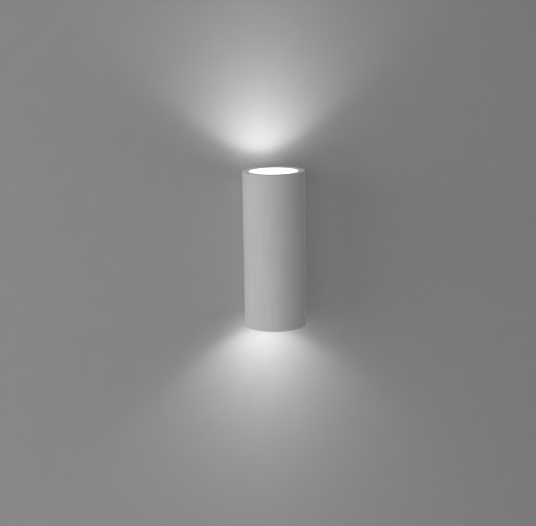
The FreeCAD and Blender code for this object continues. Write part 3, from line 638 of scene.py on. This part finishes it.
# %% [markdown]
# ## Terminal screws
# The terminal screws have no head. They are threaded almost to the top and have a straight
# slot, which is the same recess with four corners and no narrowing.


# %% Slotted terminal screws
def slotted_screw(points):
    """Headless screw in the place of a packed one, which was measured as all head."""
    sizes = measure(points)
    radius, tall = sizes["head_r"], sizes["head_tall"]
    pitch = 0.3 * radius
    line = [(0, 0), (0.6 * radius, 0), (0.8 * radius, 0.05 * tall)]
    height = 0.05 * tall + pitch
    while height < 0.8 * tall:
        line += [(CREST * radius, height - pitch / 2), (0.84 * radius, height)]
        height += pitch
    line += [(0.98 * radius, 0.84 * tall), (0.98 * radius, 0.96 * tall), (0.92 * radius, tall)]
    skin = bmesh.new()
    spun(skin, line, LATHE_STEPS)
    long, wide = 0.78 * radius, 0.13 * radius
    corners = [(long, wide), (-long, wide), (-long, -wide), (long, -wide)]
    recess(skin, corners, tall, 0.16 * tall, 1.0)
    crisp(skin)
    return set_down(skin, sizes["spot"], sizes["out"])


stand_in("slotted_terminal_screws", "terminal_screws",
         [slotted_screw(points) for points in solids_of("terminal_screws")])

# %% [markdown]
# ## Ringed lenses
# The lamp's lens is pressed with fine round ridges that spread the beam, round a smooth domed
# middle that covers the source. It is one outline, spun. Its back, its edge and the top of its
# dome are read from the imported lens, so that it stays inside it.

# %% Lenses
RIDGES = 9
RIDGE_SHAPE = ((0.0, 0.45), (0.25, 0.12), (0.5, 0.02), (0.75, 0.12))


def lens_profile(radius, edge, thick):
    """Outline from the middle of the back to the top of the dome; sinks are in mm."""
    rim, middle = 0.95 * radius, 0.52 * radius
    width = (rim - middle) / RIDGES
    line = [(0, 0), (radius - 0.3 * MM, 0), (radius, 0.3 * MM), (radius, edge - 0.2 * MM),
            (radius - 0.2 * MM, edge), (rim, edge)]
    for ridge in range(RIDGES):
        outer = rim - ridge * width
        line += [(outer - share * width, edge - sink * MM) for share, sink in RIDGE_SHAPE]
    line += [(middle, edge - 0.45 * MM), (0.97 * middle, edge - 0.05 * MM)]
    for share in (0.86, 0.7, 0.5, 0.28, 0.0):
        line.append((share * 0.8 * middle, edge + (thick - edge) * math.cos(share * math.pi / 2)))
    return line


def ringed_lens(node):
    """Lens with ridges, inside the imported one."""
    low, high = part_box(node)
    radius, thick = (high.x - low.x) / 2, high.z - low.z
    way = 1 if low.z > 0 else -1
    back = low.z if way > 0 else high.z
    edge = max(way * (point.z - back) for point in solids_of(node)[0]
               if math.hypot(point.x, point.y - AXIS_Y) > 0.9 * radius)
    skin = bmesh.new()
    spun(skin, lens_profile(radius, edge, thick), 3 * LATHE_STEPS)
    crisp(skin, math.radians(55))
    return set_down(skin, Vector((0, AXIS_Y, back)), Vector((0, 0, way)))


for end in ("top", "bottom"):
    stand_in("ringed_lens_" + end, "lamp_lens_" + end, [ringed_lens("lamp_lens_" + end)])

# %% [markdown]
# ## The wall and the floor
# The light hangs on a plain wall, and its beams are only seen where they strike it. The wall
# is a backdrop and no part of the object. It is one-sided: seen from behind it is clear, so
# that the back of the tube and its plate can be looked at too.


# %% Sheets for the stage
def mixed_shader(made, share, first, second):
    """The first shader where the share is 0, the second where it is 1."""
    node = add_node(made, "ShaderNodeMixShader")
    for socket, output in zip(node.inputs, (share, first, second)):
        join(made, output, socket)
    return node.outputs["Shader"]


def backdrop(name, corners, grey):
    """Flat stage piece through four corners, in a plain grey; returns the object."""
    sheet = bmesh.new()
    sheet.faces.new([sheet.verts.new(corner) for corner in corners])
    mesh = bpy.data.meshes.new(name)
    sheet.to_mesh(mesh)
    sheet.free()
    made = bpy.data.objects.new(name, mesh)
    bpy.context.scene.collection.objects.link(made)
    colour = (grey, grey, grey)
    paint = new_finish(name + "_paint", colour, 0.9)
    mottle(paint, noise(paint, object_place(paint), 30, 6), colour, 0.015)
    dress(made, paint)
    return made


def one_sided(paint):
    """Make a finish clear where its back is seen."""
    side = add_node(paint, "ShaderNodeNewGeometry")
    clear = add_node(paint, "ShaderNodeBsdfTransparent")
    surface = mixed_shader(paint, side.outputs["Backfacing"],
                           principled(paint).outputs["BSDF"], clear.outputs["BSDF"])
    join(paint, surface, paint.node_tree.nodes["Material Output"].inputs["Surface"])


# %% [markdown]
# The wall's face is a hair behind the plate, because two faces in one plane flicker.

# %% Wall and floor
FAR = 6.0
FLOOR_Z = -1.3
WALL_Y = 0.3 * MM
WALL_GREY, FLOOR_GREY = 0.48, 0.8
wall = backdrop("wall", ((-FAR, WALL_Y, FLOOR_Z), (FAR, WALL_Y, FLOOR_Z),
                         (FAR, WALL_Y, FAR), (-FAR, WALL_Y, FAR)), WALL_GREY)
one_sided(wall.data.materials[0])
floor = backdrop("floor", ((-FAR, -FAR, FLOOR_Z), (FAR, -FAR, FLOOR_Z),
                           (FAR, FAR, FLOOR_Z), (-FAR, FAR, FLOOR_Z)), FLOOR_GREY)
print("wall and floor: %.0f m wide, floor %.1f m below the light" % (2 * FAR, -FLOOR_Z))

# %% [markdown]
# ## The two beams
# A reflector lamp is brightest along its axis and falls off evenly to the side, to a quarter
# of that at 40 degrees, where the rim of the tube begins to cut it. From 65 degrees on nothing
# gets past the rim. On the wall such a cone draws a bright arch. A spot lamp with that fall-off
# stands in for the lamp and its satin glass. The rim could cut it for real, but one small spot
# in the bore would leave a hard edge, while the real lens is hidden bit by bit. So the cut is
# a curve over the angle, from 0 to 90 degrees.

# %% Strength by angle
BEAM_FALL = math.radians(30)
RIM_CUT = ((38, 1.0), (44, 0.86), (48, 0.57), (52, 0.28), (56, 0.16), (60, 0.08), (65, 0.0))


def shape_beam(light):
    """Strength by the angle off the lamp's axis: an even fall-off, cut by the rim."""
    where = add_node(light, "ShaderNodeTexCoord")
    axis = add_node(light, "ShaderNodeSeparateXYZ")
    join(light, where.outputs["Normal"], axis.inputs["Vector"])
    angle = maths(light, "ARCCOSINE", maths(light, "ABSOLUTE", axis.outputs["Z"]))
    fall = maths(light, "EXPONENT", maths(light, "MULTIPLY", angle, -1 / BEAM_FALL))
    rim_cut = add_node(light, "ShaderNodeFloatCurve")
    join(light, maths(light, "DIVIDE", angle, math.pi / 2), rim_cut.inputs["Value"])
    curve = rim_cut.mapping.curves[0]
    curve.points[0].location = (0, 1)
    curve.points[1].location = (1, 0)
    for degrees, kept in RIM_CUT:
        curve.points.new(degrees / 90, kept)
    rim_cut.mapping.update()
    strength = maths(light, "MULTIPLY", fall, rim_cut.outputs["Value"])
    join(light, strength, light.node_tree.nodes["Emission"].inputs["Strength"])


# %% [markdown]
# The spots sit in the front of the bore. Light linking lets them light only the wall and the
# floor, and lets only the wall shade them. The discs' glow would light the wall a second time,
# so diffuse rays don't see them.

# %% Beams
BEAM_SPOTS = {"up": (-12 * MM, -80 * MM, 80 * MM), "down": (-12 * MM, -80 * MM, -70 * MM)}
BEAM_WATTS = 4.65


def collected(name, things):
    group = bpy.data.collections.new(name)
    for thing in things:
        group.objects.link(thing)
    return group


def beam(name):
    """Spot lamp in the tube that shines up or down the wall."""
    light = bpy.data.lights.new("beam_" + name, "SPOT")
    light.energy = BEAM_WATTS
    light.spot_size = math.radians(150)
    light.spot_blend = 0.1
    light.shadow_soft_size = 4 * MM
    light.use_nodes = True
    made = bpy.data.objects.new("beam_" + name, light)
    made.location = BEAM_SPOTS[name]
    made.rotation_euler = (math.pi if name == "up" else 0, 0, 0)
    bpy.context.scene.collection.objects.link(made)
    shape_beam(light)
    return made


beams = [beam(name) for name in BEAM_SPOTS]
lit = collected("lit_by_the_beams", (wall, floor))
shades = collected("shades_the_beams", (wall,))
for made in beams:
    made.light_linking.receiver_collection = lit
    made.light_linking.blocker_collection = shades
for name in ("glass_top", "glass_bottom"):
    nodes_of[name].visible_diffuse = False
print("beams:", [made.name for made in beams])

# %% [markdown]
# ## Studio light
# The studio has two large soft lamps on the left, one well in front of the wall and one almost
# beside it. Together they shade the tube from its left to its right side. The side lamp leaves
# a long soft shadow on the wall and the front one a short one. A third lamp stands behind the
# wall, which doesn't shade it, for views of the back.

# %% Soft lamps
LAMP_AWAY, LAMP_UP = 3.2, 0.3


def soft_lamp(name, spot, size, watts):
    """Square area lamp at a place, turned to the light's middle."""
    light = bpy.data.lights.new(name, "AREA")
    light.shape = "SQUARE"
    light.size = size
    light.energy = watts
    made = bpy.data.objects.new(name, light)
    made.location = spot
    towards = Vector((0, AXIS_Y, 0)) - Vector(spot)
    made.rotation_euler = towards.to_track_quat("-Z", "Y").to_euler()
    bpy.context.scene.collection.objects.link(made)
    print("%s: %.1f m wide, %.1f W" % (name, size, watts))
    return made


def left_lamp(name, degrees, size, watts):
    """Soft lamp that many degrees to the left of the wall's normal."""
    turn = math.radians(degrees)
    spot = (-LAMP_AWAY * math.sin(turn), -LAMP_AWAY * math.cos(turn), LAMP_UP)
    return soft_lamp(name, spot, size, watts)


left_lamp("front_lamp", 20, 2.4, 17.5)
left_lamp("side_lamp", 71, 2.2, 31)
back_lamp = soft_lamp("back_lamp", (1.0, 2.5, 0.4), 1.8, 42)
past_wall = collected("shades_the_back_lamp", (wall,))
past_wall.collection_objects[0].light_linking.link_state = "EXCLUDE"
back_lamp.light_linking.blocker_collection = past_wall

# %% [markdown]
# ## Sky
# A weak even sky fills the shadows. It could simply be seen as it is, but then the background
# of other views would be dark. So the rays of the camera and of glossy surfaces see a pale
# grey instead, which lights nothing that is matt.

# %% World
SKY_LIGHT, SKY_SEEN = 0.14, 0.82
world = bpy.data.worlds.new("studio")
bpy.context.scene.world = world
world.use_nodes = True
sky = world.node_tree.nodes["Background"]
sky.inputs["Color"].default_value = (1, 1, 1, 1)
sky.inputs["Strength"].default_value = SKY_LIGHT
seen = add_node(world, "ShaderNodeBackground")
seen.inputs["Color"].default_value = (SKY_SEEN, SKY_SEEN, SKY_SEEN, 1)
rays = add_node(world, "ShaderNodeLightPath")
looking = maths(world, "MAXIMUM", rays.outputs["Is Camera Ray"], rays.outputs["Is Glossy Ray"])
surface = mixed_shader(world, looking, sky.outputs["Background"], seen.outputs["Background"])
join(world, surface, world.node_tree.nodes["World Output"].inputs["Surface"])
bpy.context.scene.view_settings.view_transform = "Standard"
tell(world)

# %% [markdown]
# ## Camera
# The picture is taken from the left and a little above the light, with a long lens. The place
# is counted from the middle of the rim. The camera could be aimed with a constraint, but three
# turns say exactly where it looks: to the side, down and askew, in that order.

# %% Camera
SENSOR, LENS = 36, 82.75
FROM_RIM = Vector((-0.416, -1.905, 0.284))
ASIDE, DOWN, ASKEW = math.radians(-12), math.radians(12.57), math.radians(-0.81)
camera = bpy.data.objects.new("camera", bpy.data.cameras.new("camera"))
bpy.context.scene.collection.objects.link(camera)
bpy.context.scene.camera = camera
camera.data.sensor_width = SENSOR
camera.data.lens = LENS
camera.matrix_world = (Matrix.Translation(FROM_RIM + Vector((0, AXIS_Y, RIM)))
                       @ Matrix.Rotation(ASIDE, 4, "Z")
                       @ Matrix.Rotation(math.pi / 2 - DOWN, 4, "X")
                       @ Matrix.Rotation(ASKEW, 4, "Z"))
print("camera %.2f m from the middle of the rim" % FROM_RIM.length)
